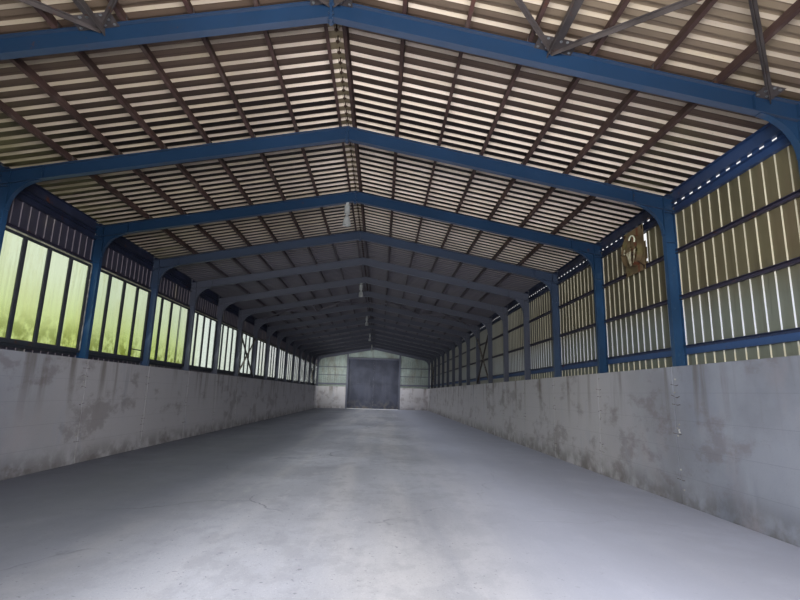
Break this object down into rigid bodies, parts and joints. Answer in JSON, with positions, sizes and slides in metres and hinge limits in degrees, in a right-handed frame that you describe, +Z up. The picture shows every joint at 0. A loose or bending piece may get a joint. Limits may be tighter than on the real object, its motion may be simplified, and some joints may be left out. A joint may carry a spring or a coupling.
{
  "type": "factory building, 1:2 scale model",
  "caption": "Long single-nave portal-frame workshop hall with ribbed metal roof and walls, concrete dado, glazed left wall and sliding end doors, at half size.",
  "frame": {"origin": "centre of the hall's footprint, on the underside of the floor slab", "axes": "+Z up, +Y along the hall from the front doorway to the rear door, +X to the right when looking along +Y"},
  "size_m": [6.2974, 27.184, 3.4632],
  "materials": {
    "concrete_floor": "dusty trowelled concrete",
    "dado_concrete": "stained precast concrete",
    "blue_steel": "worn blue paint",
    "purlin_steel": "dull red brown primer",
    "roof_sheet": "weathered cream coating",
    "wall_sheet": "weathered grey green coating",
    "dark_rail": "dark blue paint",
    "window_glass": "translucent, algae stained",
    "brace_steel": "grey primer",
    "gable_sheet": "weathered grey green coating",
    "door_steel": "dark blue grey paint",
    "lamp_metal": "dusty spun aluminium",
    "vent_metal": "rusty brown sheet steel"
  },
  "bodies": {
    "root": {"floor_slab": "concrete_floor", "dado_left": "dado_concrete", "dado_right": "dado_concrete", "dado_front": "dado_concrete", "dado_rear": "dado_concrete", "columns_left": "blue_steel", "columns_right": "blue_steel", "knees_left": "blue_steel", "knees_right": "blue_steel", "rafters_left": "blue_steel", "rafters_right": "blue_steel", "ridge_plates": "blue_steel", "purlins_left": "purlin_steel", "purlins_right": "purlin_steel", "ridge_purlins": "purlin_steel", "eave_beams_left": "dark_rail", "eave_beams_right": "dark_rail", "roof_sheet_left": "roof_sheet", "roof_sheet_right": "roof_sheet", "ridge_cap": "roof_sheet", "wall_sheet_left": "wall_sheet", "wall_sheet_right": "wall_sheet", "wall_rails_left": "dark_rail", "wall_rails_right": "dark_rail", "window_frames": "dark_rail", "window_glass": "window_glass", "roof_braces": "brace_steel", "wall_braces_left": "brace_steel", "wall_braces_right": "brace_steel", "gable_sheet_front": "gable_sheet", "gable_sheet_rear": "gable_sheet", "gable_steel_front": "blue_steel", "gable_steel_rear": "blue_steel", "corner_trims": "dark_rail", "verge_trims": "dark_rail", "door_track_front": "dark_rail", "door_track_rear": "dark_rail", "front_leaf_left": "door_steel", "front_leaf_right": "door_steel", "lamps": "lamp_metal", "wall_ventilator": "vent_metal"},
    "rear_leaf_left": {"rear_leaf_left": "door_steel"},
    "rear_leaf_right": {"rear_leaf_right": "door_steel"}
  },
  "joints": [
    {"name": "rear_leaf_left_slide", "type": "slide", "parent": "root", "child": "rear_leaf_left", "axis": [-1, 0, 0], "range_m": [0, 1.37]},
    {"name": "rear_leaf_right_slide", "type": "slide", "parent": "root", "child": "rear_leaf_right", "axis": [1, 0, 0], "range_m": [0, 1.37]}
  ]
}
